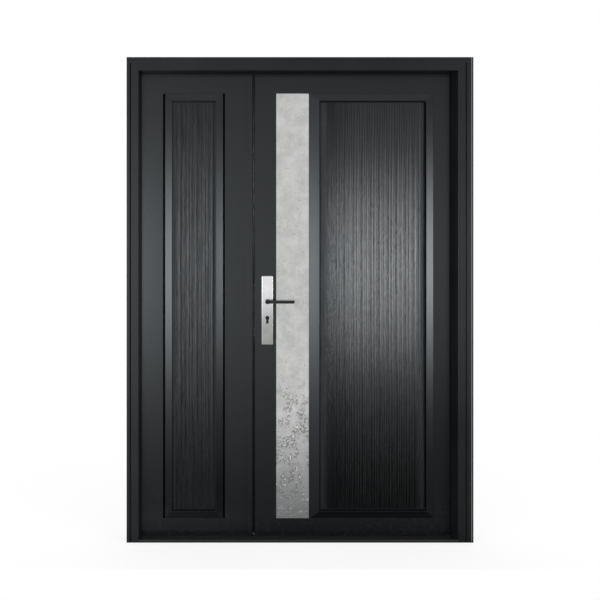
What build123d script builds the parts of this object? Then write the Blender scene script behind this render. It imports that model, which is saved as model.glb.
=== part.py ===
from build123d import *
import os

os.makedirs("parts", exist_ok=True)

# Pressed steel frame: overall size, face widths seen from outside, and the bent section.
frame_width = 1500.0
frame_height = 2100.0
frame_depth = 120.0
frame_sheet = 2.0
left_face = 52.5
right_face = 66.0
head_face = 57.5
stop_width = 15.0
left_stop_splay = 8.5
right_stop_splay = 18.0
wall_lip = 20.0
frame_arris = 3.5
left_groove_inset = 13.0
right_groove_inset = 28.0
groove_width = 6.0
groove_depth = 5.0
anchor_radius = 6.0
anchor_setback = 20.0
anchor_end_margin = 450.0

# Threshold: a floor plate under the jambs with a raised nosing between them.
sill_plate = 4.0
sill_nosing_height = 12.0
sill_nosing_depth = 15.0
sill_nosing_round = 3.0

# Weather seal on the back of the stop.
gasket_width = 10.0
gasket_inset = 2.0
gasket_room = 8.0
gasket_clearance = 1.0

# Leaves: sheet steel pans around a core, hung flush with the back of the frame.
leaf_thickness = 60.0
leaf_sheet = 1.5
leaf_gap = 5.0
leaf_floor_gap = 6.0
passive_leaf_width = 506.0
meeting_gap = 10.0
active_edge_bevel = 3.0

# Recessed fields, applied mouldings, ribbed panels and the stone-look inlay.
recess_depth = 16.0
field_foot_margin = 76.0
field_head_margin = 98.5
moulding_crest = 8.0
moulding_rail = 33.0
mitre_gap = 0.3
passive_hinge_margin = 112.0
passive_meeting_margin = 121.0
passive_side_groove = 9.0
side_groove_floor = 1.5
passive_stile = 31.0
passive_panel_gap = 8.0
panel_rail_gap = 6.0
active_hinge_margin = 100.0
active_left_stile = 46.0
active_right_stile = 33.0
active_panel_left_gap = 6.0
active_panel_right_gap = 1.5
inlay_margin = 94.5
inlay_width = 143.0
panel_valley = 9.0
rib_height = 1.0
rib_widths = (12.5, 9.0, 15.0, 7.5, 11.0, 8.5, 13.5)

# Meeting edges: cover strip and brush on the passive leaf.
strip_width = 23.0
strip_setback = 1.0
strip_thickness = 4.0
strip_round = 0.5
strip_head_gap = 5.0
brush_front = 34.0
brush_width = 10.0
brush_reach = 5.3

# Lock: long plates, lever on a square spindle, profile cylinder, edge plates and bolts.
plate_width = 50.0
plate_height = 302.0
plate_drop = 190.0
plate_thickness = 10.0
plate_corner = 3.0
plate_round = 2.0
lock_backset = 54.5
lever_height = 1040.0
lever_hub_radius = 10.5
lever_hub_length = 24.0
lever_hub_seat = 3.0
lever_grip_radius = 7.0
lever_reach = 50.0
lever_bend = 14.0
lever_length = 116.0
lever_bearing = 0.05
spindle_size = 8.0
spindle_bore = 7.0
cylinder_drop = 72.0
cylinder_radius = 8.5
cylinder_neck = 10.0
cylinder_height = 33.0
cylinder_proud = 1.0
cylinder_fit = 0.3
cylinder_bore_fit = 0.6
keyway_width = 2.6
keyway_height = 9.0
keyway_depth = 26.0
edge_plate_width = 24.0
edge_plate_front = 6.0
edge_plate_thickness = 3.0
faceplate_drop = 160.0
faceplate_height = 240.0
latch_rise = 28.0
latch_size = 22.0
latch_thickness = 12.0
bolt_count = 3
bolt_pitch = 28.0
bolt_radius = 7.0
bolt_depth = 30.0
bolt_fit = 0.3
bolt_hole_run = 9.0
flush_bolt_height = 150.0
flush_bolt_foot_margin = 220.0
flush_bolt_head_margin = 262.5
flush_lever_width = 10.0
flush_lever_height = 60.0
flush_lever_depth = 1.5

# Lift-off barrel hinges on the inside, three to a leaf.
hinge_foot_margin = 250.0
hinge_head_margin = 290.0
hinge_names = ("lower", "middle", "upper")
hinge_radius = 9.0
hinge_standoff = 10.0
hinge_barrel = 62.0
hinge_axial_gap = 0.3
hinge_pin_radius = 5.0
hinge_pin_length = 46.0
hinge_pin_room = 4.0
hinge_bearing = 0.05
hinge_flag = 3.0
hinge_flag_reach = 31.0
hinge_flag_inset = 4.0
hinge_crown = 2.0

# Planes and edges that the pieces share. The leaves' outside face is the datum plane, Y = 0.
x_left = -frame_width / 2
x_right = frame_width / 2
leaf_front = 0.0
y_rear = leaf_front + leaf_thickness
y_front = y_rear - frame_depth
frame_middle = (y_front + y_rear) / 2
stop_left = x_left + left_face
stop_right = x_right - right_face
stop_top = frame_height - head_face
rebate_left = stop_left - stop_width
rebate_right = stop_right + stop_width
rebate_top = stop_top + stop_width
stop_rear = leaf_front - gasket_room
leaf_back_sheet = y_rear - leaf_sheet
leaf_bottom = sill_plate + leaf_floor_gap
leaf_top = rebate_top - leaf_gap
passive_hinge_edge = rebate_left + leaf_gap
passive_meeting_edge = passive_hinge_edge + passive_leaf_width
active_hinge_edge = rebate_right - leaf_gap
active_meeting_edge = passive_meeting_edge + meeting_gap
field_bottom = leaf_bottom + field_foot_margin
field_top = leaf_top - field_head_margin
passive_field_left = passive_hinge_edge + passive_hinge_margin
passive_field_right = passive_meeting_edge - passive_meeting_margin
inlay_left = active_meeting_edge + inlay_margin
active_field_left = inlay_left + inlay_width
active_field_right = active_hinge_edge - active_hinge_margin
anchor_heights = (anchor_end_margin, frame_height - anchor_end_margin)
left_axis = rebate_left + leaf_gap / 2
right_axis = rebate_right - leaf_gap / 2
hinge_y = y_rear + hinge_standoff
lever_x = active_meeting_edge + lock_backset
cylinder_z = lever_height - cylinder_drop
plate_middle = lever_height - plate_drop + plate_height / 2
edge_plate_y = leaf_front + edge_plate_front
faceplate_bottom = lever_height - faceplate_drop
faceplate_top = faceplate_bottom + faceplate_height
latch_height = lever_height + latch_rise
bolt_heights = [cylinder_z - row * bolt_pitch for row in range(bolt_count)]
flush_bolt_bottoms = (
    leaf_bottom + flush_bolt_foot_margin,
    leaf_top - flush_bolt_head_margin - flush_bolt_height,
)
lower_hinge = hinge_foot_margin
upper_hinge = frame_height - hinge_head_margin
hinge_heights = (lower_hinge, (lower_hinge + upper_hinge) / 2, upper_hinge)


def keep(builder, name):
    """Name a finished piece and write it."""
    builder.part.label = name
    export_step(builder.part, f"parts/{name}.step")


def active_edge(y):
    """X of the bevelled meeting edge of the active leaf at depth y."""
    return active_meeting_edge - active_edge_bevel * (y - leaf_front) / leaf_thickness


def passive_plan(y0, y1, inset):
    """Plan outline of the passive leaf between two depths."""
    left = passive_hinge_edge + inset
    right = passive_meeting_edge - inset
    return [(left, y0), (right, y0), (right, y1), (left, y1)]


def active_plan(y0, y1, inset):
    """Plan outline of the active leaf between two depths, with its bevelled edge."""
    right = active_hinge_edge - inset
    return [(active_edge(y0) + inset, y0), (right, y0), (right, y1), (active_edge(y1) + inset, y1)]


def outside(out):
    """Plane a given height out from the leaf's outside face, local axes X and Z."""
    return Plane(origin=(0, leaf_front - out, 0), x_dir=(1, 0, 0), z_dir=(0, -1, 0))


def inside(out):
    """Plane a given height out from the leaf's inside face, local axes -X and Z."""
    return Plane(origin=(0, y_rear + out, 0), x_dir=(-1, 0, 0), z_dir=(0, 1, 0))


def upright(face, x0, x1, z0, z1, mode=Mode.ADD):
    """Rectangle sketched on a leaf face plane from world X and Z limits."""
    sign = face(0).x_dir.X
    with Locations((sign * (x0 + x1) / 2, (z0 + z1) / 2)):
        Rectangle(x1 - x0, z1 - z0, mode=mode)


# Jambs: one bent section each, open to the wall between two lips. The stop's reveal leans in towards
# the leaf below the head, and the section is mitred above its underside.
def jamb_section(bottom, wall, inward, groove_inset, stop_edge, splay):
    """Plan section of a jamb: faced, grooved, stepped for the leaf, hollow and open at the wall."""
    groove_start = wall + inward * groove_inset
    groove_mid = groove_start + inward * groove_width / 2
    groove_end = groove_start + inward * groove_width
    stop_back = stop_edge + inward * splay
    rebate = stop_edge - inward * stop_width
    stop_span = sorted((stop_edge, stop_back))
    with BuildSketch(Plane.XY.offset(bottom)) as section:
        with BuildLine():
            Polyline(
                (wall, y_front),
                (groove_start, y_front),
                (groove_mid, y_front + groove_depth),
                (groove_end, y_front),
                (stop_edge, y_front),
                (stop_back, stop_rear),
                (rebate, stop_rear),
                (rebate, y_rear),
                (wall, y_rear),
                close=True,
            )
        make_face()
        fillet(section.vertices().filter_by_position(Axis.X, *stop_span), frame_arris)
        offset(amount=-frame_sheet, kind=Kind.INTERSECTION, mode=Mode.SUBTRACT)
        with Locations((wall, frame_middle)):
            Rectangle(2 * frame_sheet, frame_depth - 2 * wall_lip, mode=Mode.SUBTRACT)
    return section.sketch


jamb_sides = (
    ("frame_left_jamb", x_left, 1, left_groove_inset, stop_left, left_stop_splay),
    ("frame_right_jamb", x_right, -1, right_groove_inset, stop_right, right_stop_splay),
)
for name, wall, inward, groove_inset, stop_edge, splay in jamb_sides:
    with BuildPart() as jamb:
        mitred = jamb_section(stop_top, wall, inward, groove_inset, stop_edge, 0)
        extrude(mitred, amount=frame_height - stop_top)
        split(
            bisect_by=Plane(origin=(stop_edge, 0, stop_top), x_dir=(0, 1, 0), z_dir=(inward, 0, 1)),
            keep=Keep.BOTTOM,
        )
        splayed = jamb_section(sill_plate, wall, inward, groove_inset, stop_edge, splay)
        extrude(splayed, amount=stop_top - sill_plate)
        with BuildSketch(Plane.YZ.offset(stop_edge - inward * stop_width)) as anchors:
            with Locations(*[(leaf_front + anchor_setback, height) for height in anchor_heights]):
                Circle(anchor_radius)
        extrude(anchors.sketch, amount=-inward * 2 * frame_sheet, mode=Mode.SUBTRACT)
    keep(jamb, name)

# Head: the same bent section without the groove, mitred at both ends.
with BuildPart() as head:
    with BuildSketch(Plane.YZ.offset(x_left)) as section:
        with BuildLine():
            Polyline(
                (y_front, frame_height),
                (y_front, stop_top),
                (stop_rear, stop_top),
                (stop_rear, rebate_top),
                (y_rear, rebate_top),
                (y_rear, frame_height),
                close=True,
            )
        make_face()
        fillet(section.vertices().filter_by_position(Axis.Z, stop_top, stop_top), frame_arris)
        offset(amount=-frame_sheet, kind=Kind.INTERSECTION, mode=Mode.SUBTRACT)
        with Locations((frame_middle, frame_height)):
            Rectangle(frame_depth - 2 * wall_lip, 2 * frame_sheet, mode=Mode.SUBTRACT)
    extrude(amount=frame_width)
    for stop_edge, inward in ((stop_left, 1), (stop_right, -1)):
        split(
            bisect_by=Plane(origin=(stop_edge, 0, stop_top), x_dir=(0, 1, 0), z_dir=(inward, 0, 1)),
            keep=Keep.TOP,
        )
keep(head, "frame_head")

# Threshold: plate on the floor, the jambs stand on its ends, nosing along the outer edge.
with BuildPart() as threshold:
    with BuildSketch(Plane.XY):
        with Locations((0, frame_middle)):
            Rectangle(frame_width, frame_depth)
    extrude(amount=sill_plate)
    nosing_rear = y_front + sill_nosing_depth
    splay_share = sill_nosing_depth / (stop_rear - y_front)
    with BuildSketch(Plane.XY.offset(sill_plate)) as nosing:
        Polygon(
            (stop_left, y_front),
            (stop_right, y_front),
            (stop_right - right_stop_splay * splay_share, nosing_rear),
            (stop_left + left_stop_splay * splay_share, nosing_rear),
            align=None,
        )
    extrude(nosing.sketch, amount=sill_nosing_height - sill_plate)
    fillet(threshold.edges().filter_by(Axis.X).group_by(Axis.Z)[-1], sill_nosing_round)
keep(threshold, "threshold")

# Weather seal: an unbroken strip up both stops and along the head.
with BuildPart() as gasket:
    with BuildSketch(Plane.XZ.offset(-stop_rear)):
        seal_left = rebate_left + gasket_inset
        seal_right = rebate_right - gasket_inset
        seal_top = rebate_top - gasket_inset
        upright(outside, seal_left, seal_right, sill_plate, seal_top)
        upright(outside, seal_left + gasket_width, seal_right - gasket_width, sill_plate,
                seal_top - gasket_width, mode=Mode.SUBTRACT)
    extrude(amount=gasket_clearance - gasket_room)
keep(gasket, "frame_gasket")


def euro_outline(fit):
    """Profile cylinder section on a leaf face plane, grown by a fit all round."""
    Circle(cylinder_radius + fit)
    with Locations((0, -(cylinder_height - cylinder_radius) / 2)):
        Rectangle(cylinder_neck + 2 * fit, cylinder_height - cylinder_radius + 2 * fit)


def lock_bores(face, start, amount):
    """Cut the spindle and cylinder bores through a leaf layer of the active leaf."""
    sign = face(0).x_dir.X
    with BuildSketch(face(start)) as bores:
        with Locations((sign * lever_x, lever_height)):
            Circle(spindle_bore)
        with Locations((sign * lever_x, cylinder_z)):
            euro_outline(cylinder_bore_fit)
    extrude(bores.sketch, amount=amount, mode=Mode.SUBTRACT)


def meeting_pocket(edge_at, into, z0, z1, depth, mode):
    """Block let into a meeting edge, from the edge line inward by a depth."""
    with BuildSketch(Plane.XY.offset(z0)) as pocket:
        with BuildLine():
            y0 = edge_plate_y
            y1 = edge_plate_y + edge_plate_width
            Polyline(
                (edge_at(y0), y0),
                (edge_at(y1), y1),
                (edge_at(y1) + into * depth, y1),
                (edge_at(y0) + into * depth, y0),
                close=True,
            )
        make_face()
    extrude(pocket.sketch, amount=z1 - z0, mode=mode)


def bolt_pockets(edge_x, into, start, fit, length, mode):
    """Latch block and round bolts, or the holes for them, behind a meeting edge."""
    bolt_y = edge_plate_y + edge_plate_width / 2
    with BuildSketch(Plane.YZ.offset(edge_x + into * start)) as bolt_set:
        with Locations((bolt_y, latch_height)):
            Rectangle(latch_thickness + 2 * fit, latch_size + 2 * fit)
        with Locations(*[(bolt_y, height) for height in bolt_heights]):
            Circle(bolt_radius + fit)
    extrude(bolt_set.sketch, amount=into * length, mode=mode)


def passive_edge(y):
    """X of the square meeting edge of the passive leaf."""
    return passive_meeting_edge


def passive_edge_lets(mode):
    """Blocks let into the passive leaf's edge for the strike and the flush bolts."""
    meeting_pocket(passive_edge, -1, faceplate_bottom, faceplate_top, edge_plate_thickness, mode)
    for bottom in flush_bolt_bottoms:
        meeting_pocket(passive_edge, -1, bottom, bottom + flush_bolt_height, edge_plate_thickness, mode)


def side_groove_walls(face):
    """Sloping walls that narrow both sides of the passive leaf's recess to a V by the moulding."""
    face_y = face(0).origin.Y
    floor_y = face(-recess_depth).origin.Y
    reach = passive_side_groove - side_groove_floor
    for edge_x, inward in ((passive_field_left, 1), (passive_field_right, -1)):
        with BuildSketch(Plane.XY.offset(field_bottom)) as wall:
            with BuildLine():
                Polyline((edge_x, face_y), (edge_x, floor_y), (edge_x + inward * reach, floor_y), close=True)
            make_face()
        extrude(wall.sketch, amount=field_top - field_bottom)


passive_bolt_x = passive_edge(edge_plate_y)
active_bolt_x = active_edge(edge_plate_y + edge_plate_width / 2)

# Leaf shells and cores. The outside pan wraps the edges, the inside sheet closes it.
passive_field = (passive_field_left, passive_field_right)
active_field = (active_field_left, active_field_right)
inlay_and_field = (inlay_left, active_field_right)
leaves = (
    ("passive", passive_plan, passive_field, passive_field),
    ("active", active_plan, inlay_and_field, active_field),
)
for leaf, plan, front_field, rear_field in leaves:
    with BuildPart() as front_skin:
        with BuildSketch(Plane.XY.offset(leaf_bottom)):
            Polygon(*plan(leaf_front, leaf_back_sheet, 0), align=None)
        extrude(amount=leaf_top - leaf_bottom)
        with BuildSketch(Plane.XY.offset(leaf_bottom + leaf_sheet)):
            Polygon(*plan(leaf_front + leaf_sheet, leaf_back_sheet, leaf_sheet), align=None)
        extrude(amount=leaf_top - leaf_bottom - 2 * leaf_sheet, mode=Mode.SUBTRACT)
        with BuildSketch(outside(0)):
            upright(outside, front_field[0] - leaf_sheet, front_field[1] + leaf_sheet,
                    field_bottom - leaf_sheet, field_top + leaf_sheet)
        extrude(amount=-(recess_depth + leaf_sheet))
        with BuildSketch(outside(0)):
            upright(outside, front_field[0], front_field[1], field_bottom, field_top)
        extrude(amount=-recess_depth, mode=Mode.SUBTRACT)
        if leaf == "passive":
            side_groove_walls(outside)
            passive_edge_lets(Mode.SUBTRACT)
        else:
            lock_bores(outside, 0, -(recess_depth + leaf_sheet))
            meeting_pocket(active_edge, 1, faceplate_bottom, faceplate_top, edge_plate_thickness,
                           Mode.SUBTRACT)
    keep(front_skin, f"{leaf}_front_skin")

    with BuildPart() as rear_skin:
        with BuildSketch(Plane.XY.offset(leaf_bottom)):
            Polygon(*plan(leaf_back_sheet, y_rear, 0), align=None)
        extrude(amount=leaf_top - leaf_bottom)
        with BuildSketch(inside(0)):
            upright(inside, rear_field[0] - leaf_sheet, rear_field[1] + leaf_sheet,
                    field_bottom - leaf_sheet, field_top + leaf_sheet)
        extrude(amount=-(recess_depth + leaf_sheet))
        with BuildSketch(inside(0)):
            upright(inside, rear_field[0], rear_field[1], field_bottom, field_top)
        extrude(amount=-recess_depth, mode=Mode.SUBTRACT)
        if leaf == "passive":
            side_groove_walls(inside)
        else:
            lock_bores(inside, 0, -(recess_depth + leaf_sheet))
    keep(rear_skin, f"{leaf}_rear_skin")

    with BuildPart() as core:
        with BuildSketch(Plane.XY.offset(leaf_bottom + leaf_sheet)):
            Polygon(*plan(leaf_front + leaf_sheet, leaf_back_sheet, leaf_sheet), align=None)
        extrude(amount=leaf_top - leaf_bottom - 2 * leaf_sheet)
        for face, field in ((outside, front_field), (inside, rear_field)):
            with BuildSketch(face(0)):
                upright(face, field[0] - leaf_sheet, field[1] + leaf_sheet,
                        field_bottom - leaf_sheet, field_top + leaf_sheet)
            extrude(amount=-(recess_depth + leaf_sheet), mode=Mode.SUBTRACT)
        if leaf == "passive":
            passive_edge_lets(Mode.SUBTRACT)
            bolt_pockets(passive_bolt_x, -1, edge_plate_thickness, bolt_fit, bolt_depth, Mode.SUBTRACT)
        else:
            lock_bores(outside, 0, -leaf_thickness)
            meeting_pocket(active_edge, 1, faceplate_bottom, faceplate_top, edge_plate_thickness,
                           Mode.SUBTRACT)
            bolt_pockets(active_bolt_x, 1, 0, bolt_fit, bolt_depth, Mode.SUBTRACT)
    keep(core, f"{leaf}_core")


def moulding(face, x0, x1, z0, z1, left_stile, right_stile, name):
    """Four mitred members that rise from the leaf's face to a crest round the panel."""
    inner = (x0 + left_stile, x1 - right_stile, z0 + moulding_rail, z1 - moulding_rail)
    sign = face(0).x_dir.X
    with BuildPart() as ring:
        with BuildSketch(face(-recess_depth)):
            upright(face, x0, x1, z0, z1)
        extrude(amount=recess_depth)
        with BuildSketch(face(0)):
            upright(face, x0, x1, z0, z1)
        with BuildSketch(face(moulding_crest)):
            upright(face, *inner)
        loft()
        with BuildSketch(face(-recess_depth)):
            upright(face, *inner)
        extrude(amount=recess_depth + moulding_crest, mode=Mode.SUBTRACT)
        with BuildSketch(face(-recess_depth)):
            for corner_x, inner_x in ((x0, inner[0]), (x1, inner[1])):
                for corner_z, inner_z in ((z0, inner[2]), (z1, inner[3])):
                    with BuildLine():
                        Line((sign * corner_x, corner_z), (sign * inner_x, inner_z))
                    trace(line_width=mitre_gap)
        extrude(amount=recess_depth + moulding_crest, mode=Mode.SUBTRACT)
    keep(ring, name)


def ribbed_panel(floor_y, outward, x0, x1, z0, z1, name):
    """Board with upright half-round ribs of uneven width, cut to its field."""
    widths = []
    while sum(widths) < x1 - x0:
        widths.append(rib_widths[len(widths) % len(rib_widths)])
    fill = (x1 - x0) / sum(widths)
    valley = floor_y + outward * (recess_depth - panel_valley)
    crest = valley + outward * rib_height
    with BuildPart() as panel:
        with BuildSketch(Plane.XY.offset(z0)):
            with BuildLine():
                Polyline((x0, valley), (x0, floor_y), (x1, floor_y), (x1, valley))
                start = x0
                for width in widths:
                    end = start + width * fill
                    ThreePointArc((start, valley), ((start + end) / 2, crest), (end, valley))
                    start = end
            make_face()
        extrude(amount=z1 - z0)
    keep(panel, name)


faces = (
    ("front", outside, leaf_front + recess_depth, -1),
    ("rear", inside, y_rear - recess_depth, 1),
)
for side, face, floor_y, outward in faces:
    passive_x0 = passive_field_left + passive_side_groove
    passive_x1 = passive_field_right - passive_side_groove
    moulding(face, passive_x0, passive_x1, field_bottom, field_top, passive_stile, passive_stile,
             f"passive_{side}_moulding")
    ribbed_panel(floor_y, outward, passive_x0 + passive_stile + passive_panel_gap,
                 passive_x1 - passive_stile - passive_panel_gap,
                 field_bottom + moulding_rail + panel_rail_gap,
                 field_top - moulding_rail - panel_rail_gap, f"passive_{side}_panel")
    moulding(face, active_field_left, active_field_right, field_bottom, field_top, active_left_stile,
             active_right_stile, f"active_{side}_moulding")
    ribbed_panel(floor_y, outward, active_field_left + active_left_stile + active_panel_left_gap,
                 active_field_right - active_right_stile - active_panel_right_gap,
                 field_bottom + moulding_rail + panel_rail_gap,
                 field_top - moulding_rail - panel_rail_gap, f"active_{side}_panel")

# Stone-look inlay: a slab let flush into the same recess, beside the moulding.
with BuildPart() as inlay:
    with BuildSketch(outside(0)):
        upright(outside, inlay_left, active_field_left, field_bottom, field_top)
    extrude(amount=-recess_depth)
keep(inlay, "concrete_inlay")

# Cover strip up the passive leaf's meeting edge, and the brush that closes the gap.
with BuildPart() as strip:
    with BuildSketch(outside(0)):
        upright(outside, passive_meeting_edge - strip_setback - strip_width,
                passive_meeting_edge - strip_setback, leaf_bottom, stop_top - strip_head_gap)
    extrude(amount=strip_thickness)
    fillet(strip.faces().sort_by(Axis.Y)[0].edges().filter_by(Axis.Z), strip_round)
keep(strip, "passive_meeting_strip")

with BuildPart() as brush:
    with BuildSketch(Plane.XY.offset(leaf_bottom)):
        with Locations((passive_meeting_edge, leaf_front + brush_front)):
            Rectangle(brush_reach, brush_width, align=(Align.MIN, Align.MIN))
    extrude(amount=leaf_top - leaf_bottom)
keep(brush, "meeting_brush")

# Strike plate and flush bolts let into the passive edge, lock plate and bolts in the active edge.
with BuildPart() as strike:
    meeting_pocket(passive_edge, -1, faceplate_bottom, faceplate_top, edge_plate_thickness, Mode.ADD)
    bolt_pockets(passive_bolt_x, -1, 0, bolt_fit, edge_plate_thickness, Mode.SUBTRACT)
keep(strike, "passive_strike_plate")

with BuildPart() as flush_bolts:
    for bottom in flush_bolt_bottoms:
        meeting_pocket(passive_edge, -1, bottom, bottom + flush_bolt_height, edge_plate_thickness, Mode.ADD)
        with BuildSketch(Plane.YZ.offset(passive_meeting_edge)):
            with Locations((edge_plate_y + edge_plate_width / 2, bottom + flush_bolt_height / 2)):
                SlotOverall(flush_lever_height, flush_lever_width, rotation=90)
        extrude(amount=-flush_lever_depth, mode=Mode.SUBTRACT)
keep(flush_bolts, "passive_flush_bolts")

with BuildPart() as faceplate:
    meeting_pocket(active_edge, 1, faceplate_bottom, faceplate_top, edge_plate_thickness, Mode.ADD)
    bolt_pockets(active_bolt_x, 1, -edge_plate_thickness, bolt_fit, bolt_hole_run, Mode.SUBTRACT)
keep(faceplate, "lock_faceplate")

with BuildPart() as bolts:
    bolt_pockets(active_bolt_x, 1, 0, 0, bolt_depth, Mode.ADD)
keep(bolts, "lock_bolts")

# Handle plates on both faces, bored for the lever hub and cut for the cylinder.
for side, face in (("outside", outside), ("inside", inside)):
    with BuildPart() as plate:
        sign = face(0).x_dir.X
        with BuildSketch(face(0)):
            with Locations((sign * lever_x, plate_middle)):
                RectangleRounded(plate_width, plate_height, plate_corner)
        extrude(amount=plate_thickness)
        fillet(plate.faces().sort_by(Axis.Y)[0 if side == "outside" else -1].edges(), plate_round)
        with BuildSketch(face(0)):
            with Locations((sign * lever_x, lever_height)):
                Circle(lever_hub_radius + lever_bearing)
            with Locations((sign * lever_x, cylinder_z)):
                euro_outline(cylinder_fit)
        extrude(amount=plate_thickness, mode=Mode.SUBTRACT)
    keep(plate, f"{side}_handle_plate")

# Profile cylinder through both plates with a keyway at each end.
with BuildPart() as cylinder:
    with BuildSketch(outside(plate_thickness + cylinder_proud)):
        with Locations((lever_x, cylinder_z)):
            euro_outline(0)
    extrude(amount=-(leaf_thickness + 2 * plate_thickness + 2 * cylinder_proud))
    for face in (outside, inside):
        with BuildSketch(face(plate_thickness + cylinder_proud)):
            with Locations((face(0).x_dir.X * lever_x, cylinder_z)):
                Rectangle(keyway_width, keyway_height)
        extrude(amount=-keyway_depth, mode=Mode.SUBTRACT)
keep(cylinder, "lock_cylinder")

# Levers: a round hub in the plate, a neck that bends into a straight grip with a rounded end.
for side, base_y, outward in (("outside", leaf_front, -1), ("inside", y_rear, 1)):
    with BuildPart() as lever:
        hub_start = base_y + outward * (plate_thickness - lever_hub_seat)
        grip_y = base_y + outward * lever_reach
        grip_end = (lever_x + lever_length - lever_grip_radius, grip_y, lever_height)
        hub_plane = Plane(origin=(lever_x, hub_start, lever_height), x_dir=(1, 0, 0), z_dir=(0, outward, 0))
        with BuildSketch(hub_plane):
            Circle(lever_hub_radius)
        extrude(amount=lever_hub_length)
        with BuildLine() as route:
            FilletPolyline(
                (lever_x, hub_start, lever_height),
                (lever_x, grip_y, lever_height),
                grip_end,
                radius=lever_bend,
            )
        with BuildSketch(hub_plane):
            Circle(lever_grip_radius)
        sweep(path=route.line)
        with Locations(grip_end):
            Sphere(lever_grip_radius)
    keep(lever, f"{side}_lever")

# Square spindle from hub to hub.
with BuildPart() as spindle:
    with BuildSketch(outside(plate_thickness - lever_hub_seat)):
        with Locations((lever_x, lever_height)):
            Rectangle(spindle_size, spindle_size)
    extrude(amount=-(leaf_thickness + 2 * (plate_thickness - lever_hub_seat)))
keep(spindle, "lever_spindle")


def hinge_flag_plate(axis_x, towards, z0):
    """Flat leaf of a hinge half from the barrel's axis towards its fixing side."""
    with BuildSketch(Plane.XY.offset(z0 + hinge_flag_inset)) as flag:
        with Locations((axis_x + towards * hinge_flag_reach / 2, y_rear + hinge_flag / 2)):
            Rectangle(hinge_flag_reach, hinge_flag)
    extrude(flag.sketch, amount=hinge_barrel - 2 * hinge_flag_inset)


# Hinges: the frame half carries the pin, the leaf half drops over it.
hinge_sides = (("passive", left_axis, 1), ("active", right_axis, -1))
for leaf, axis_x, leafward in hinge_sides:
    for level, height in zip(hinge_names, hinge_heights):
        with BuildPart() as frame_half:
            with BuildSketch(Plane.XY.offset(height - hinge_barrel)):
                with Locations((axis_x, hinge_y)):
                    Circle(hinge_radius)
            extrude(amount=hinge_barrel)
            chamfer(frame_half.edges().filter_by(GeomType.CIRCLE).sort_by(Axis.Z)[0], hinge_crown)
            hinge_flag_plate(axis_x, -leafward, height - hinge_barrel)
            with BuildSketch(Plane.XY.offset(height)):
                with Locations((axis_x, hinge_y)):
                    Circle(hinge_pin_radius)
            extrude(amount=hinge_pin_length)
        keep(frame_half, f"{leaf}_{level}_hinge_frame_half")

        with BuildPart() as leaf_half:
            with BuildSketch(Plane.XY.offset(height + hinge_axial_gap)):
                with Locations((axis_x, hinge_y)):
                    Circle(hinge_radius)
            extrude(amount=hinge_barrel)
            chamfer(leaf_half.edges().filter_by(GeomType.CIRCLE).sort_by(Axis.Z)[-1], hinge_crown)
            hinge_flag_plate(axis_x, leafward, height + hinge_axial_gap)
            with BuildSketch(Plane.XY.offset(height)):
                with Locations((axis_x, hinge_y)):
                    Circle(hinge_pin_radius + hinge_bearing)
            extrude(amount=hinge_pin_length + hinge_pin_room, mode=Mode.SUBTRACT)
        keep(leaf_half, f"{leaf}_{level}_hinge_leaf_half")
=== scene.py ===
import math
import random

import bmesh
import bpy
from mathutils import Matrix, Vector


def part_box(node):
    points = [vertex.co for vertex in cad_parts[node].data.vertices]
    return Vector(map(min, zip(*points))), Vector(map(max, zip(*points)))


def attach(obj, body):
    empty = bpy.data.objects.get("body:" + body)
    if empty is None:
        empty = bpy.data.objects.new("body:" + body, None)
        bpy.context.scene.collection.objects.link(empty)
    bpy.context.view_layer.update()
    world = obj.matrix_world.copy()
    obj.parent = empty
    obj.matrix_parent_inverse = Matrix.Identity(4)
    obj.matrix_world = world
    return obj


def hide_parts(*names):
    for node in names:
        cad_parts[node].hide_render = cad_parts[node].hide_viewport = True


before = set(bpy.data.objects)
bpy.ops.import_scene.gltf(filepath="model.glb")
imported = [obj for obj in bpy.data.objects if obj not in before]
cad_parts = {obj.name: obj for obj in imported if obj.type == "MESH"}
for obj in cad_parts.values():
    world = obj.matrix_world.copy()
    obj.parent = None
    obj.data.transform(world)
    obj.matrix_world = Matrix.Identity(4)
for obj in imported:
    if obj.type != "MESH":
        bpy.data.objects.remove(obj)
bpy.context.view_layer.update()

scene = bpy.context.scene
scene.view_settings.view_transform = "Standard"


# Pressed steel frame: two jambs and a head, bent from 2 mm sheet and mitred at the corners.
# It has a satin anthracite powder coat, duller on the left jamb, with a pale upright line painted along the
# right jamb's outer edge as a painted highlight, and is screwed through its rebates into the wall.
FRAME_PAINT = (0.0100, 0.0110, 0.0114, 1.0)
FRAME_PAINT_PALER = (0.0280, 0.0290, 0.0292, 1.0)
COOL_GLOSS = (0.89, 0.95, 1.0, 1.0)
# A pale grey upright strip on the outside face, fading in at each edge: a painted highlight along the right
# jamb's outer edge.
HIGHLIGHT_GREY = (0.23, 0.23, 0.23, 1.0)
HIGHLIGHT_LINE = (0.7412, 0.7438)
HIGHLIGHT_FADE = 0.0008
OUTSIDE_FACE = (-0.055, -0.058)
EASED_EDGE = 0.0015
ORANGE_PEEL = 0.00004


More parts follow.
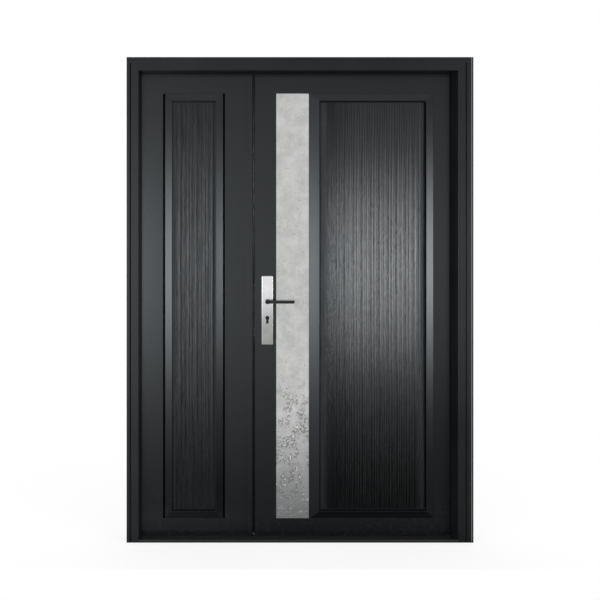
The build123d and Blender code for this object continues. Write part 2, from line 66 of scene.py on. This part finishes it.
class Wire:
    """One socket of a finish being mixed. Sums written on it add Math nodes to that finish."""

    def __init__(self, tree, socket=None):
        self.tree = tree
        self.socket = socket

    def add(self, kind, settings={}, sockets={}, out=0):
        """Add a node: its settings first, then the values or wires of its sockets."""
        made = self.tree.nodes.new(kind)
        for name, value in settings.items():
            setattr(made, name, value)
        for name, value in sockets.items():
            if isinstance(value, Wire):
                self.tree.links.new(value.socket, made.inputs[name])
            else:
                made.inputs[name].default_value = value
        return Wire(self.tree, made.outputs[out] if made.outputs else None)

    def sum(self, operation, first, second):
        return self.add("ShaderNodeMath", {"operation": operation}, {0: first, 1: second})

    def __add__(self, other):
        return self.sum("ADD", self, other)

    def __radd__(self, other):
        return self.sum("ADD", other, self)

    def __sub__(self, other):
        return self.sum("SUBTRACT", self, other)

    def __rsub__(self, other):
        return self.sum("SUBTRACT", other, self)

    def __mul__(self, other):
        return self.sum("MULTIPLY", self, other)

    def __rmul__(self, other):
        return self.sum("MULTIPLY", other, self)

    def stretch(self, x, y, z):
        """The same places drawn out or squeezed along each axis."""
        return self.add("ShaderNodeVectorMath", {"operation": "MULTIPLY"}, {0: self, 1: (x, y, z)})

    def cloud(self, scale, detail=3.0, rough=0.55):
        """Soft noise, 0 to 1, with so many lumps to the metre."""
        sockets = {"Vector": self, "Scale": scale, "Detail": detail, "Roughness": rough}
        return self.add("ShaderNodeTexNoise", {}, sockets, out="Fac")

    def from_to(self, low, high, start=0.0, end=1.0):
        """A smooth rise from start to end while this goes from low to high."""
        sockets = {"Value": self, "From Min": low, "From Max": high, "To Min": start, "To Max": end}
        return self.add("ShaderNodeMapRange", {"interpolation_type": "SMOOTHSTEP"}, sockets)

    def blend(self, first, second):
        """One colour at 0, the other at 1."""
        return self.add("ShaderNodeMix", {"data_type": "RGBA"}, {0: self, 6: first, 7: second}, out=2)

    def relief(self, depth, over=None):
        """A bumped normal of that depth in metres, laid over another normal where one is given."""
        sockets = {"Height": self, "Distance": depth}
        if over:
            sockets["Normal"] = over
        return self.add("ShaderNodeBump", {}, sockets, out="Normal")

    def rounded(self, radius):
        """The normal of a piece whose sharp edges are eased by a radius in metres."""
        return self.add("ShaderNodeBevel", {"samples": 6}, {"Radius": radius}, out="Normal")

    def axis(self, name):
        """One coordinate of a place or a direction."""
        return self.add("ShaderNodeSeparateXYZ", {}, {0: self}, out=name)


def begin_finish(name):
    """An empty finish, and the place on the piece in metres."""
    material = bpy.data.materials.new(name)
    material.use_nodes = True
    material.node_tree.nodes.clear()
    return material, Wire(material.node_tree).add("ShaderNodeTexCoord", out="Object")


def end_finish(place, sockets):
    """Close a finish with its surface shader."""
    shader = place.add("ShaderNodeBsdfPrincipled", {}, sockets)
    place.add("ShaderNodeOutputMaterial", {}, {"Surface": shader})


def coat(material, *names):
    """Put one finish on CAD pieces."""
    for name in names:
        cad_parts[name].data.materials.clear()
        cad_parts[name].data.materials.append(material)


def powder_coat(name, colour, paler_colour, roughness, specular, eased=EASED_EDGE, highlight_line=None):
    """Satin powder coat: fine orange peel, eased edges, paler patches low down, and an upright pale line
    on the outside face, a painted highlight, where its two edges are given."""
    material, place = begin_finish(name)
    cloudy = place.cloud(3.0, 4.0)
    peel = place.cloud(900.0, 2.0)
    # Paler in patches over the lowest 0.35 m, in the colour and the roughness.
    low_down = place.axis("Z").from_to(0.35, 0.0)
    low_patches = low_down * place.cloud(40.0, 6.0, 0.7).from_to(0.45, 0.75)
    shade = cloudy.from_to(0.3, 0.7, 0.0, 0.25) + low_patches * 0.25
    paint = shade.blend(colour, paler_colour)
    # An upright pale strip on the outside face, a painted highlight along the edge.
    if highlight_line:
        across, inward = place.axis("X"), place.axis("Y")
        left, right = highlight_line
        line = across.from_to(left - HIGHLIGHT_FADE, left) * across.from_to(right + HIGHLIGHT_FADE, right)
        paint = (line * inward.from_to(*OUTSIDE_FACE)).blend(paint, HIGHLIGHT_GREY)
    end_finish(place, {
        "Base Color": paint,
        "Roughness": roughness + cloudy * 0.06 + low_patches * 0.1,
        "Specular IOR Level": specular,
        "Specular Tint": COOL_GLOSS,
        "Normal": peel.relief(ORANGE_PEEL, place.rounded(eased)),
    })
    return material


frame_paint = powder_coat("frame_paint", FRAME_PAINT, FRAME_PAINT_PALER, roughness=0.26, specular=0.36)
coat(frame_paint, "frame_head")
dull_paint = powder_coat("dull_frame_paint", FRAME_PAINT, FRAME_PAINT_PALER, roughness=0.34,
                         specular=0.36)
coat(dull_paint, "frame_left_jamb")
highlighted_paint = powder_coat("highlighted_frame_paint", FRAME_PAINT, FRAME_PAINT_PALER, roughness=0.26,
                           specular=0.36, highlight_line=HIGHLIGHT_LINE)
coat(highlighted_paint, "frame_right_jamb")


# Threshold: a folded steel sill under the jambs, worn by feet along its nosing.
# It has the same coat as the frame.
THRESHOLD_PAINT = (0.022, 0.023, 0.023, 1.0)
THRESHOLD_WORN = (0.038, 0.038, 0.037, 1.0)
threshold_paint = powder_coat("threshold_paint", THRESHOLD_PAINT, THRESHOLD_WORN, roughness=0.38,
                              specular=0.38)
coat(threshold_paint, "threshold")


# Weather seal: a black rubber strip glued to the back of the stop.
# It is extruded, so it is smooth along its length and dull.
SEAL_BLACK = (0.009, 0.009, 0.009, 1.0)
SEAL_GREY = (0.022, 0.022, 0.022, 1.0)
SEAL_WIDTH = 0.010
SEAL_BASE = 0.0016
SEAL_SHOULDER = 0.0012
BULB_STEPS = 14


def place_mesh(name, points, faces, material, body):
    """A new piece from points and faces in the door's frame, coated and fixed to a body."""
    mesh = bpy.data.meshes.new(name)
    mesh.from_pydata(points, [], faces)
    shape = bmesh.new()
    shape.from_mesh(mesh)
    bmesh.ops.recalc_face_normals(shape, faces=shape.faces)
    shape.to_mesh(mesh)
    shape.free()
    mesh.materials.append(material)
    piece = bpy.data.objects.new(name, mesh)
    scene.collection.objects.link(piece)
    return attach(piece, body)


seal_low, seal_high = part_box("frame_gasket")
bulb_height = seal_high.y - seal_low.y - SEAL_BASE
bulb_half = SEAL_WIDTH / 2 - SEAL_SHOULDER
seal_section = [(0.0, 0.0), (0.0, SEAL_BASE)]
for step in range(BULB_STEPS + 1):
    turn = math.pi * step / BULB_STEPS
    across = SEAL_WIDTH / 2 - bulb_half * math.cos(turn)
    seal_section.append((across, SEAL_BASE + bulb_height * math.sin(turn)))
seal_section += [(SEAL_WIDTH, SEAL_BASE), (SEAL_WIDTH, 0.0)]
seal_points = []
for across, out in seal_section:
    y = seal_low.y + out
    left, right, top = seal_low.x + across, seal_high.x - across, seal_high.z - across
    seal_points += [(left, y, seal_low.z), (left, y, top), (right, y, top), (right, y, seal_low.z)]
seal_count = len(seal_section)
seal_faces = [tuple(4 * row + end for row in range(seal_count)) for end in (0, 3)]
for row in range(seal_count):
    here, after = 4 * row, 4 * ((row + 1) % seal_count)
    seal_faces += [(here + run, here + run + 1, after + run + 1, after + run) for run in range(3)]
seal_rubber, place = begin_finish("seal_rubber")
bloom = place.cloud(60.0, 5.0)
end_finish(place, {
    "Base Color": bloom.blend(SEAL_BLACK, SEAL_GREY),
    "Roughness": 0.6 + bloom * 0.2,
    "Normal": place.cloud(1500.0, 2.0).relief(0.0001),
})
bulb_seal = place_mesh("bulb_seal", seal_points, seal_faces, seal_rubber, "frame")
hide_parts("frame_gasket")


# Leaves: two sheet steel pans folded round the edges of each leaf and closed by an inside sheet.
# They are powder coated like the frame, a shade cooler.
LEAF_PAINT = (0.0064, 0.0078, 0.0083, 1.0)
LEAF_PAINT_PALER = (0.0105, 0.0120, 0.0124, 1.0)
leaf_paint = powder_coat("leaf_paint", LEAF_PAINT, LEAF_PAINT_PALER, roughness=0.20, specular=0.57)
for leaf in ("passive", "active"):
    coat(leaf_paint, f"{leaf}_front_skin", f"{leaf}_rear_skin")
coat(leaf_paint, "passive_meeting_strip")


# Meeting brush: black nylon bristles held in a folded strip on the passive leaf's edge.
# Their tips all but touch the active leaf and close the gap to light and draught.
BRISTLE_BLACK = (0.010, 0.010, 0.010, 1.0)
BRISTLE_GREY = (0.030, 0.030, 0.031, 1.0)
BRISTLE_ROWS = 6
BRISTLE_PITCH = 0.0016
BRISTLE_RADIUS = 0.0007
BRISTLE_LEAN = 0.0006
BRUSH_STRIP = 0.0018
BRUSH_TIP = -0.1940
FIN_TIP = -0.1936
BRUSH_FIN = 0.0004
FIN_DROP = 0.0055
bristle_nylon, place = begin_finish("bristle_nylon")
strands = place.cloud(900.0, 2.0)
end_finish(place, {
    "Base Color": strands.blend(BRISTLE_BLACK, BRISTLE_GREY),
    "Roughness": 0.5 + strands * 0.2,
})
brush_low, brush_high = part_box("meeting_brush")
strip_face = brush_low.x + BRUSH_STRIP
brush_middle = (brush_low.y + brush_high.y) / 2
fin_sides = (brush_middle - BRUSH_FIN / 2, brush_middle + BRUSH_FIN / 2)
brush_points, brush_faces = [], []
for reach, sides, foot in (
    (strip_face, (brush_low.y, brush_high.y), brush_low.z),
    (FIN_TIP, fin_sides, brush_low.z - FIN_DROP),
):
    first = len(brush_points)
    brush_points += [(x, y, z) for z in (foot, brush_high.z) for y in sides for x in (brush_low.x, reach)]
    for corners in ((0, 1, 3, 2), (4, 6, 7, 5), (0, 4, 5, 1), (2, 3, 7, 6), (0, 2, 6, 4), (1, 5, 7, 3)):
        brush_faces.append(tuple(first + corner for corner in corners))
bristle_luck = random.Random(7)
bristle_levels = int((brush_high.z - brush_low.z) / BRISTLE_PITCH)
for level in range(bristle_levels):
    for row in range(BRISTLE_ROWS):
        root_y = brush_low.y + (row + 0.5) / BRISTLE_ROWS * (brush_high.y - brush_low.y)
        root_z = brush_low.z + (level + 0.5 + 0.5 * (row % 2)) * BRISTLE_PITCH
        tip_x = BRUSH_TIP - bristle_luck.uniform(0.0, BRISTLE_LEAN)
        tip_y = root_y + bristle_luck.uniform(-BRISTLE_LEAN, BRISTLE_LEAN)
        tip_z = root_z + bristle_luck.uniform(-BRISTLE_LEAN, BRISTLE_LEAN)
        first = len(brush_points)
        for corner in range(3):
            turn = 2 * math.pi * corner / 3
            side, rise = BRISTLE_RADIUS * math.cos(turn), BRISTLE_RADIUS * math.sin(turn)
            brush_points += [(strip_face, root_y + side, root_z + rise), (tip_x, tip_y + side, tip_z + rise)]
        for corners in ((0, 2, 3, 1), (2, 4, 5, 3), (4, 0, 1, 5), (1, 3, 5)):
            brush_faces.append(tuple(first + corner for corner in corners))
bristle_brush = place_mesh("bristle_brush", brush_points, brush_faces, bristle_nylon, "passive_leaf")
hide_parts("meeting_brush")


# Cores: paper honeycomb glued between the sheets, hidden in a finished door.
# Its brown paper shows in the bolt holes only.
CORE_PAPER = (0.30, 0.21, 0.12, 1.0)
CORE_PAPER_DARK = (0.17, 0.11, 0.06, 1.0)
honeycomb, place = begin_finish("honeycomb")
fibres = place.stretch(1.0, 1.0, 0.2).cloud(300.0, 4.0)
end_finish(place, {
    "Base Color": fibres.blend(CORE_PAPER_DARK, CORE_PAPER),
    "Roughness": 0.75 + fibres * 0.2,
    "Normal": fibres.relief(0.0002),
})
coat(honeycomb, "passive_core", "active_core")


# Mouldings: four mitred lengths round each panel, raised to a crest beside it.
# They are sprayed with the leaf and have a little more gloss.
MOULDING_PAINT = (0.0030, 0.0036, 0.0039, 1.0)
MOULDING_PAINT_PALER = (0.0070, 0.0078, 0.0081, 1.0)
moulding_paint = powder_coat("moulding_paint", MOULDING_PAINT, MOULDING_PAINT_PALER, roughness=0.17,
                             specular=0.65, eased=0.0025)
for leaf in ("passive", "active"):
    coat(moulding_paint, f"{leaf}_front_moulding", f"{leaf}_rear_moulding")


# Ribbed panels: boards with upright half-round ribs of uneven width, wrapped in a dark film
# with a drawn-out grain that breaks the light on each rib into streaks.
RIB_DARK = (0.0010, 0.0012, 0.0013, 1.0)
RIB_LIGHT = (0.0036, 0.0040, 0.0042, 1.0)
POLISHED_FROM = (0.10, 0.28)
GRAIN_DEPTH = 0.0018


def ribbed_film(leaf, roughness, specular, polish, dull_edge, pressed):
    """Dark film with an upright grain, polished towards the right and dull at the board's edges.
    The grain is pressed to three shares of its depth: at the foot, in the middle and at the top."""
    material, place = begin_finish(f"{leaf}_ribbed_film")
    board_low, board_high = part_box(f"{leaf}_front_panel")
    across = place.axis("X")
    left_edge = across.from_to(board_low.x + dull_edge, board_low.x)
    right_edge = across.from_to(board_high.x - dull_edge, board_high.x)
    edges = left_edge + right_edge
    streaks = place.stretch(1.0, 1.0, 0.025).cloud(250.0, 3.0, 0.65)
    bands = place.stretch(1.0, 1.0, 0.03).cloud(60.0, 2.0, 0.5)
    grain = streaks * 0.7 + bands * 0.3
    foot, middle, top = pressed
    height = place.axis("Z")
    depth_share = height.from_to(0.30, 0.75, foot, middle) + height.from_to(1.40, 1.75, 0.0, top - middle)
    end_finish(place, {
        "Base Color": grain.from_to(0.35, 0.7).blend(RIB_DARK, RIB_LIGHT),
        "Roughness": roughness + streaks.from_to(0.3, 0.7) * 0.06 + edges * 0.25,
        "Specular IOR Level": specular,
        "Specular Tint": COOL_GLOSS,
        "Coat Weight": across.from_to(*POLISHED_FROM) * polish * (1 - edges),
        "Coat Roughness": 0.12,
        "Normal": (grain * depth_share).relief(GRAIN_DEPTH),
    })
    return material


passive_film = ribbed_film("passive", roughness=0.25, specular=0.50, polish=0.0, dull_edge=0.008,
                           pressed=(1.4, 0.8, 1.0))
coat(passive_film, "passive_front_panel", "passive_rear_panel")
active_film = ribbed_film("active", roughness=0.10, specular=0.51, polish=0.6, dull_edge=0.050,
                          pressed=(1.8, 1.4, 0.5))
coat(active_film, "active_front_panel", "active_rear_panel")


# Stone-look inlay: a thin slab of cast concrete let flush into the active leaf.
# Pale and trowelled smooth above, with pits, and rough with scars towards the foot, where it is darker,
# partly as its own colour and partly as painted shade.
CONCRETE_PALE = (0.77, 0.77, 0.765, 1.0)
CONCRETE_GREY = (0.60, 0.60, 0.595, 1.0)
CONCRETE_FOOT_SHADE = (0.215, 0.220, 0.222, 1.0)
CONCRETE_WHITE = (0.90, 0.90, 0.895, 1.0)
CONCRETE_HOLLOW_SHADE = (0.10, 0.10, 0.10, 1.0)
CONCRETE_RELIEF = 0.0012
concrete, place = begin_finish("concrete")
mottle = place.cloud(14.0, 8.0, 0.72)
sand = place.cloud(350.0, 3.0, 0.7)
pits = place.add("ShaderNodeTexVoronoi", {}, {"Vector": place, "Scale": 38.0}, out="Distance")
pit = pits.from_to(0.16, 0.05)
trowel = place.stretch(1.0, 1.0, 2.2).cloud(34.0, 5.0, 0.65).from_to(0.56, 0.66)
wrinkle = place.cloud(75.0, 4.0, 0.65)
height = place.axis("Z")
# Painted shade: darker towards the foot, partly the concrete's own colour and partly the light falling off
# low down.
towards_foot_shade = height.from_to(0.62, 0.02)
broken = height.from_to(0.80, 0.48) * (0.25 + height.from_to(0.14, 0.30) * 0.75)
torn = broken * place.cloud(18.0, 4.0, 0.65).from_to(0.46, 0.56)
scar = torn * wrinkle.from_to(0.505, 0.53) * wrinkle.from_to(0.555, 0.53)
# Pale rims beside the scars, raised in the bump and lightened partly as pale chipped stone and partly as
# painted highlight.
pale_rim_and_highlight = torn * wrinkle.from_to(0.555, 0.58)
smooth_colour = mottle.from_to(0.35, 0.68).blend(CONCRETE_GREY, CONCRETE_PALE)
foot_shaded_colour = towards_foot_shade.blend(smooth_colour, CONCRETE_FOOT_SHADE)
marked_colour = (trowel * 0.30 + pale_rim_and_highlight * 0.9).blend(foot_shaded_colour, CONCRETE_WHITE)
end_finish(place, {
    # Pits are darkened as painted shade in their hollows; scars are darkened partly as their own colour and
    # partly as painted shade in their hollows.
    "Base Color": (scar * 0.75 + pit * 0.3).blend(marked_colour, CONCRETE_HOLLOW_SHADE),
    "Roughness": 0.72 + sand * 0.2,
    "Specular IOR Level": 0.35,
    "Normal": (sand * 0.25 - pit - scar * 1.6 + pale_rim_and_highlight).relief(CONCRETE_RELIEF),
})
coat(concrete, "concrete_inlay")


# Handle plates: long satin steel plates bolted together through the leaf.
# The brushing runs upright, and the edges are rounded over.
STEEL = (0.95, 0.95, 0.95, 1.0)
STEEL_DULL = (0.60, 0.60, 0.60, 1.0)
STEEL_SHADED = (0.34, 0.34, 0.335, 1.0)
PLATE_SHADE_HEIGHTS = (1.10, 0.90)
SCRATCH_DEPTH = 0.00003


def satin_metal(name, colour, dull_colour, roughness, shade_heights=None):
    """Brushed metal with upright scratches and a random dull tone, and painted shade that darkens it
    downwards between two heights where they are given.
    """
    material, place = begin_finish(name)
    scratches = place.stretch(1.0, 1.0, 0.02).cloud(1800.0, 3.0, 0.6)
    tone_and_shade = place.cloud(25.0, 4.0) * 0.3
    if shade_heights:
        # Painted shade: darker from the first height down to the second.
        tone_and_shade = tone_and_shade + place.axis("Z").from_to(*shade_heights) * 0.7
    end_finish(place, {
        "Base Color": tone_and_shade.blend(colour, dull_colour),
        "Metallic": 1.0,
        "Roughness": roughness + scratches * 0.12,
        "Normal": scratches.relief(SCRATCH_DEPTH),
    })
    return material


# The handle plates carry painted shade that darkens them from 1.1 m down to 0.9 m.
plate_steel = satin_metal("plate_steel", STEEL, STEEL_SHADED, roughness=0.18, shade_heights=PLATE_SHADE_HEIGHTS)
coat(plate_steel, "outside_handle_plate", "inside_handle_plate")
satin_steel = satin_metal("satin_steel", STEEL, STEEL_DULL, roughness=0.18)
coat(satin_steel, "lock_faceplate", "passive_strike_plate", "passive_flush_bolts", "lever_spindle")


# Levers: one outside and one inside, bent from round bar and sprayed dark grey.
# The hub turns in the plate, and a square spindle joins both through the leaf.
LEVER_DARK = (0.016, 0.016, 0.017, 1.0)
LEVER_WORN = (0.030, 0.030, 0.031, 1.0)
SMALL_EDGE = 0.0006
dark_lever = powder_coat("dark_lever", LEVER_DARK, LEVER_WORN, roughness=0.30, specular=0.5,
                         eased=SMALL_EDGE)
coat(dark_lever, "outside_lever", "inside_lever")


# Profile cylinder: a blackened brass body with a keyway at each end, held by one long screw.
# The latch and bolts in the leaf's edge are blackened in the same way.
CYLINDER_BLACK = (0.025, 0.024, 0.023, 1.0)
CYLINDER_RUBBED = (0.060, 0.056, 0.050, 1.0)
cylinder_metal = satin_metal("cylinder_metal", CYLINDER_BLACK, CYLINDER_RUBBED, roughness=0.35)
coat(cylinder_metal, "lock_cylinder", "lock_bolts")


# Hinges: lift-off barrel hinges on the inside, three to a leaf.
# They are sprayed with the leaf once they are screwed on.
hinge_paint = powder_coat("hinge_paint", LEAF_PAINT, LEAF_PAINT_PALER, roughness=0.30, specular=0.5,
                          eased=SMALL_EDGE)
for leaf in ("passive", "active"):
    for level in ("lower", "middle", "upper"):
        coat(hinge_paint, f"{leaf}_{level}_hinge_frame_half", f"{leaf}_{level}_hinge_leaf_half")


# Screws: socket heads that hold the hinge flags, the inside plate and the edge plates.
# They are blackened steel on the hinges and bare steel on the lock.
SCREW_SIDES = 24
HINGE_SCREW = 0.0034
PLATE_SCREW = 0.0042
EDGE_SCREW = 0.0030
FLAG_SCREW_STEP = 0.019
BARREL_SHARE = 0.68
HINGE_FLAG = 0.003
PLATE_SCREW_INSET = 0.020
EDGE_SCREW_INSET = 0.010
EDGE_SCREW_SINK = 0.0006
HEAD_HEIGHT = 0.32
SOCKET_FLAT = 0.42
HEAD_RINGS = ((1.0, 0.0), (1.0, 0.4), (0.93, 0.8), (0.78, 1.0), (None, 1.0), (None, 0.15))


def hex_radius(turn, flat):
    """Distance from the middle of a hexagon socket to its wall."""
    return flat / math.cos((turn % (math.pi / 3)) - math.pi / 6)


def screw_heads(name, spots, facing, radius, material, body):
    """Round heads with a hexagon socket, all facing one way."""
    out = Vector(facing)
    side = Vector((0.0, 0.0, 1.0)).cross(out).normalized()
    rise = out.cross(side)
    height = HEAD_HEIGHT * radius
    last_ring = (len(HEAD_RINGS) - 1) * SCREW_SIDES
    points, faces = [], []
    for spot in spots:
        first = len(points)
        for share, level in HEAD_RINGS:
            for step in range(SCREW_SIDES):
                turn = 2 * math.pi * step / SCREW_SIDES
                reach = share * radius if share else hex_radius(turn, SOCKET_FLAT * radius)
                swing = reach * (math.cos(turn) * side + math.sin(turn) * rise)
                points.append(tuple(Vector(spot) + swing + level * height * out))
        for low in range(first, first + last_ring, SCREW_SIDES):
            for step in range(SCREW_SIDES):
                after = (step + 1) % SCREW_SIDES
                faces.append((low + step, low + after, low + SCREW_SIDES + after, low + SCREW_SIDES + step))
        faces += [tuple(first + ring + step for step in range(SCREW_SIDES)) for ring in (0, last_ring)]
    screws = place_mesh(name, points, faces, material, body)
    return screws


SCREW_BLACK = (0.020, 0.020, 0.021, 1.0)
SCREW_RUBBED = (0.045, 0.045, 0.046, 1.0)
screw_black = satin_metal("screw_black", SCREW_BLACK, SCREW_RUBBED, roughness=0.36)
flag_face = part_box("active_rear_skin")[1].y + HINGE_FLAG
for leaf, frameward in (("passive", -1), ("active", 1)):
    for half, body, flagward in (("frame", "frame", frameward), ("leaf", f"{leaf}_leaf", -frameward)):
        spots = []
        for level in ("lower", "middle", "upper"):
            low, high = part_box(f"{leaf}_{level}_hinge_{half}_half")
            flag_top = high.z if half == "leaf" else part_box(f"{leaf}_{level}_hinge_leaf_half")[0].z
            middle = (low.z + flag_top) / 2
            past_barrel = BARREL_SHARE * (high.x - low.x)
            x = low.x + past_barrel if flagward > 0 else high.x - past_barrel
            spots += [(x, flag_face, middle + row * FLAG_SCREW_STEP) for row in (-1, 0, 1)]
        screw_heads(f"{leaf}_hinge_{half}_screws", spots, (0, 1, 0), HINGE_SCREW, screw_black, body)

low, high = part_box("inside_handle_plate")
plate_ends = (low.z + PLATE_SCREW_INSET, high.z - PLATE_SCREW_INSET)
plate_spots = [((low.x + high.x) / 2, high.y, z) for z in plate_ends]
screw_heads("inside_plate_screws", plate_spots, (0, 1, 0), PLATE_SCREW, satin_steel, "active_leaf")
for plate, facing, body in (
    ("lock_faceplate", -1, "active_leaf"), ("passive_strike_plate", 1, "passive_leaf"),
):
    low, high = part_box(plate)
    face = high.x if facing > 0 else low.x + EDGE_SCREW_SINK
    plate_ends = (low.z + EDGE_SCREW_INSET, high.z - EDGE_SCREW_INSET)
    edge_spots = [(face, (low.y + high.y) / 2, z) for z in plate_ends]
    screw_heads(f"{plate}_screws", edge_spots, (facing, 0, 0), EDGE_SCREW, satin_steel, body)


# Studio: a pale floor under the door, a white surround, and soft boxes to both sides.
# The boxes stand far out and at half height, so sloping mouldings catch them and flat paint doesn't.
# Towards the right the floor turns dark to glossy rays only, which paints shade into the floor's shine on
# the foot of the wide leaf.
FLOOR_SIZE = (3.4, 1.8)
FLOOR_MIDDLE = (0.0, 0.55)
SURROUND_FILL = 0.45
PAPER = (0.40, 0.40, 0.40, 1.0)
PAPER_SEEN = 0.8
PAPER_MIRRORED = 0.05
REFLECTION_SHADE_COLOUR = (0.02, 0.02, 0.02, 1.0)
REFLECTION_SHADE_SHARE = 0.75
WHITE = (1.0, 1.0, 1.0, 1.0)
BOX_LIGHTS = (
    ("left_soft_box", (-3.62, -8.0, 1.02), (5.4, 4.4), 430.0),
    ("right_soft_box", (7.0, -8.0, 1.06), (5.6, 4.4), 520.0),
    ("rear_soft_box", (0.0, 7.0, 2.2), (4.0, 3.0), 150.0),
)

floor_mesh = bpy.data.meshes.new("floor")
floor_points = [(FLOOR_MIDDLE[0] + x * FLOOR_SIZE[0] / 2, FLOOR_MIDDLE[1] + y * FLOOR_SIZE[1] / 2, 0.0)
                for x, y in ((-1, -1), (1, -1), (1, 1), (-1, 1))]
floor_mesh.from_pydata(floor_points, [], [(0, 1, 2, 3)])
floor = bpy.data.objects.new("floor", floor_mesh)
scene.collection.objects.link(floor)
floor_white, place = begin_finish("floor_white")
sight = place.add("ShaderNodeLightPath", out="Is Camera Ray")
paper = place.add("ShaderNodeBsdfDiffuse", {}, {"Color": PAPER})
shine = place.add("ShaderNodeLightPath", out="Is Glossy Ray")
clear = place.add("ShaderNodeLightPath", out="Is Transmission Ray")
paper_white = sight * PAPER_SEEN + clear * PAPER_SEEN + shine * PAPER_MIRRORED
glow = place.add("ShaderNodeEmission", {}, {"Color": WHITE, "Strength": paper_white})
lit_floor = place.add("ShaderNodeAddShader", {}, {0: paper, 1: glow})
reflection_shade = place.add("ShaderNodeBsdfDiffuse", {}, {"Color": REFLECTION_SHADE_COLOUR})
# Painted shade in reflections: glossy rays see a dark sheet over the right of the floor, which the camera
# never sees.
reflection_shaded = shine * place.axis("X").from_to(-0.70, 0.15) * REFLECTION_SHADE_SHARE
floor_seen = place.add("ShaderNodeMixShader", {}, {0: reflection_shaded, 1: lit_floor, 2: reflection_shade})
place.add("ShaderNodeOutputMaterial", {}, {"Surface": floor_seen})
floor_mesh.materials.append(floor_white)

world = bpy.data.worlds.new("studio")
world.use_nodes = True
world.node_tree.nodes.clear()
scene.world = world
heading = Wire(world.node_tree).add("ShaderNodeTexCoord", out="Generated")
up = heading.axis("Z")
seen = heading.add("ShaderNodeLightPath", out="Is Camera Ray")
through = heading.add("ShaderNodeLightPath", out="Is Transmission Ray")
mirrored = heading.add("ShaderNodeLightPath", out="Is Glossy Ray")
side = heading.axis("X")
room_ends = side.from_to(-0.80, -0.35) * side.from_to(0.85, 0.45)
from_left = side.from_to(-0.10, 0.32, 0.94, 0.95)
low_left = side.from_to(-0.12, 0.20, 0.07, 0.008)
narrowing = side.from_to(0.0, 0.30) * side.from_to(0.60, 0.42) * 0.08
lit_wall = (up - narrowing).from_to(-0.32, -0.07) * (up + narrowing).from_to(-0.05, 0.35, 1.0, 0.3)
front_glow = low_left + from_left * lit_wall
behind = heading.axis("Y").from_to(-0.05, 0.30) * (side.from_to(-0.35, -0.80) + side.from_to(0.45, 0.85))
far_ends = side.from_to(-0.86, -0.97) + side.from_to(0.88, 0.98)
side_glow = behind * 0.5 + far_ends * 0.35 + up.from_to(-0.48, -0.70) * 0.3
pale_band = 0.01 + room_ends * front_glow + side_glow + up.from_to(0.35, 0.7, 0.0, 0.35)
white_part = seen + through
strength = white_part + mirrored * pale_band + (1 - white_part - mirrored) * SURROUND_FILL
surround = heading.add("ShaderNodeBackground", {}, {"Color": WHITE, "Strength": strength})
heading.add("ShaderNodeOutputWorld", {}, {"Surface": surround})

door_middle = Vector((0.0, 0.0, 1.05))
for name, place_at, size, power in BOX_LIGHTS:
    lamp = bpy.data.lights.new(name, "AREA")
    lamp.shape = "RECTANGLE"
    lamp.size, lamp.size_y = size
    lamp.energy = power
    lamp.use_nodes = True
    lamp.node_tree.nodes.clear()
    cloth = Wire(lamp.node_tree).add("ShaderNodeNewGeometry", out="Parametric")
    across, up_cloth = cloth.axis("X"), cloth.axis("Y")
    hot_middle = up_cloth.from_to(0.0, 0.5) * up_cloth.from_to(1.0, 0.5)
    soft_sides = across.from_to(0.0, 0.2) * across.from_to(1.0, 0.8)
    bulb = cloth.add("ShaderNodeEmission", {}, {"Strength": hot_middle * soft_sides})
    cloth.add("ShaderNodeOutputLight", {}, {"Surface": bulb})
    stand = bpy.data.objects.new(name, lamp)
    stand.location = place_at
    stand.rotation_euler = (door_middle - stand.location).to_track_quat("-Z", "Y").to_euler()
    stand.visible_camera = False
    scene.collection.objects.link(stand)


# Camera: square on to the door, left of its middle and a little above the lock.
# The lens is shifted sideways and down, so the door stands upright in the middle of the picture.
CAMERA_PLACE = (-0.42, -3.46, 1.25)
VIEW_WIDTH = 2.5945
VIEW_DISTANCE = 3.4
SENSOR = 36.0
FRAME_CENTRE = (0.0, 1.0495)
camera = bpy.data.cameras.new("camera")
camera.sensor_width = SENSOR
camera.lens = SENSOR * VIEW_DISTANCE / VIEW_WIDTH
camera.shift_x = (FRAME_CENTRE[0] - CAMERA_PLACE[0]) / VIEW_WIDTH
camera.shift_y = (FRAME_CENTRE[1] - CAMERA_PLACE[2]) / VIEW_WIDTH
tripod = bpy.data.objects.new("camera", camera)
tripod.location = CAMERA_PLACE
tripod.rotation_euler = (math.pi / 2, 0.0, 0.0)
scene.collection.objects.link(tripod)
scene.camera = tripod
